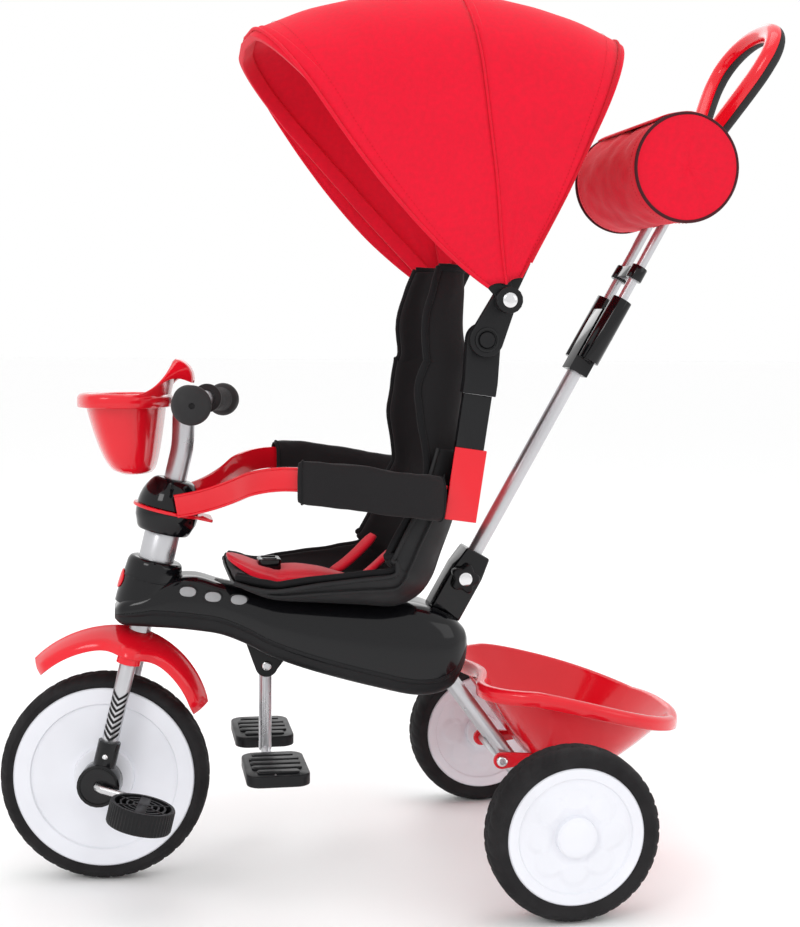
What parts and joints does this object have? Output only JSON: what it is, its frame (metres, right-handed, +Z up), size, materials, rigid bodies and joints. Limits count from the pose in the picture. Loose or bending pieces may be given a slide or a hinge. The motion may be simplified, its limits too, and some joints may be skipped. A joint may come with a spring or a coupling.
{
  "type": "children tricycle",
  "caption": "Children's tricycle: pedal front wheel, steered fork, bucket seat with guard bumper, folding canopy, folding footrest, push bar with bag, front and rear baskets.",
  "frame": {"origin": "middle of the footprint, on the ground under the wheels", "axes": "+X towards the rear wheels and push handle, +Y to the rider's right, +Z up"},
  "size_m": [0.966, 0.499, 1.0769],
  "materials": {
    "eva_tyre": "matte foam",
    "white_plastic": "satin",
    "red_plastic": "gloss",
    "black_gloss_plastic": "gloss",
    "black_plastic": "matte",
    "silver_steel": "satin silver",
    "bright_steel": "brushed",
    "red_fabric": "woven",
    "charcoal_fabric": "woven, padded"
  },
  "bodies": {
    "chassis": {"main_frame": "silver_steel", "body_upper": "black_gloss_plastic", "body_lower": "black_gloss_plastic", "rear_axle": "bright_steel", "seat_shell": "black_plastic", "seat_liner": "charcoal_fabric", "crotch_pad": "red_fabric", "buckle": "black_gloss_plastic", "left_strap_pad": "red_fabric", "right_strap_pad": "red_fabric", "back_uprights": "black_gloss_plastic", "back_panel": "red_plastic", "left_hinge_socket": "black_gloss_plastic", "right_hinge_socket": "black_gloss_plastic", "collar_lower": "black_gloss_plastic", "collar_upper": "black_gloss_plastic", "arm_guard": "red_plastic", "left_guard_sleeve": "charcoal_fabric", "right_guard_sleeve": "charcoal_fabric", "rear_basket": "red_plastic", "bar_socket": "black_gloss_plastic", "lower_bar": "silver_steel", "height_sleeve": "black_gloss_plastic"},
    "steering": {"fork": "silver_steel", "left_axle_housing": "black_gloss_plastic", "right_axle_housing": "black_gloss_plastic", "front_fender": "red_plastic", "handlebar": "silver_steel", "left_grip": "black_plastic", "right_grip": "black_plastic", "front_basket": "red_plastic"},
    "front_wheel": {"front_tyre": "eva_tyre", "front_wheel_disc": "white_plastic", "crank_axle": "bright_steel"},
    "left_pedal": {"left_pedal": "black_plastic"},
    "right_pedal": {"right_pedal": "black_plastic"},
    "left_rear_wheel": {"left_rear_tyre": "eva_tyre", "left_rear_disc": "white_plastic"},
    "right_rear_wheel": {"right_rear_tyre": "eva_tyre", "right_rear_disc": "white_plastic"},
    "footrest": {"footrest_tube": "silver_steel", "left_foot_plate": "black_plastic", "right_foot_plate": "black_plastic"},
    "canopy_arms": {"left_canopy_arm": "black_gloss_plastic", "right_canopy_arm": "black_gloss_plastic", "rear_bow": "silver_steel", "canopy_rear_panel": "red_fabric"},
    "middle_bow": {"mid_bow": "silver_steel", "canopy_front_panel": "red_fabric"},
    "front_bow": {"front_bow": "silver_steel"},
    "left_hinge_button": {"left_hinge_button": "black_plastic"},
    "right_hinge_button": {"right_hinge_button": "black_plastic"},
    "bar_knob": {"bar_knob": "black_plastic"},
    "height_pin": {"height_pin": "bright_steel"},
    "upper_bar": {"upper_tubes": "silver_steel", "handle_loop": "black_plastic", "handle_insert": "red_plastic", "bag": "red_fabric"}
  },
  "joints": [
    {"name": "steering_turn", "type": "hinge", "parent": "chassis", "child": "steering", "pos_m": [-0.35576, 0, 0.12728], "axis": [0.2283, 0, 0.9736], "range_deg": [-21, 39]},
    {"name": "front_wheel_spin", "type": "hinge", "parent": "steering", "child": "front_wheel", "pos_m": [-0.35576, 0, 0.12728], "axis": [0.1523, 0.9877, -0.0357], "continuous": true},
    {"name": "left_pedal_spin", "type": "hinge", "parent": "front_wheel", "child": "left_pedal", "pos_m": [-0.31594, -0.1381, 0.11794], "axis": [0.1523, 0.9877, -0.0357], "continuous": true},
    {"name": "right_pedal_spin", "type": "hinge", "parent": "front_wheel", "child": "right_pedal", "pos_m": [-0.39558, 0.1381, 0.13662], "axis": [0.1523, 0.9877, -0.0357], "continuous": true},
    {"name": "left_rear_spin", "type": "hinge", "parent": "chassis", "child": "left_rear_wheel", "pos_m": [0.17224, -0.226, 0.10228], "axis": [0, 1, 0], "continuous": true},
    {"name": "right_rear_spin", "type": "hinge", "parent": "chassis", "child": "right_rear_wheel", "pos_m": [0.17224, 0.226, 0.10228], "axis": [0, 1, 0], "continuous": true},
    {"name": "footrest_fold", "type": "hinge", "parent": "chassis", "child": "footrest", "pos_m": [-0.15974, 0, 0.26013], "axis": [0, -1, 0], "range_deg": [0, 50]},
    {"name": "canopy_tilt", "type": "hinge", "parent": "chassis", "child": "canopy_arms", "pos_m": [0.08215, 0, 0.6653], "axis": [0, 1, 0], "range_deg": [-15, 5]},
    {"name": "canopy_fold", "type": "hinge", "parent": "canopy_arms", "child": "middle_bow", "pos_m": [0.10327, 0, 0.71131], "axis": [0, 1, 0], "range_deg": [0, 20], "deforming": ["canopy_rear_panel"]},
    {"name": "front_bow_fold", "type": "hinge", "parent": "middle_bow", "child": "front_bow", "pos_m": [0.10327, 0, 0.71131], "axis": [0, 1, 0], "range_deg": [0, 18.7], "deforming": ["canopy_front_panel"]},
    {"name": "left_button_press", "type": "slide", "parent": "canopy_arms", "child": "left_hinge_button", "axis": [0, 1, 0], "range_m": [0, 0.004], "stiffness_N_per_m": 800},
    {"name": "right_button_press", "type": "slide", "parent": "canopy_arms", "child": "right_hinge_button", "axis": [0, -1, 0], "range_m": [0, 0.004], "stiffness_N_per_m": 800},
    {"name": "bar_knob_turn", "type": "hinge", "parent": "chassis", "child": "bar_knob", "pos_m": [0.0869, -0.0293, 0.36603], "axis": [0, 1, 0], "continuous": true},
    {"name": "height_pin_pull", "type": "slide", "parent": "chassis", "child": "height_pin", "axis": [0.8746, 0, -0.4848], "range_m": [0, 0.005], "stiffness_N_per_m": 800},
    {"name": "push_bar_height", "type": "slide", "parent": "chassis", "child": "upper_bar", "axis": [0.4848, 0, 0.8746], "range_m": [-0.025, 0.04]}
  ],
  "couplings": [
    {"joint": "front_bow_fold", "follows": "canopy_fold", "ratio": 0.935}
  ]
}
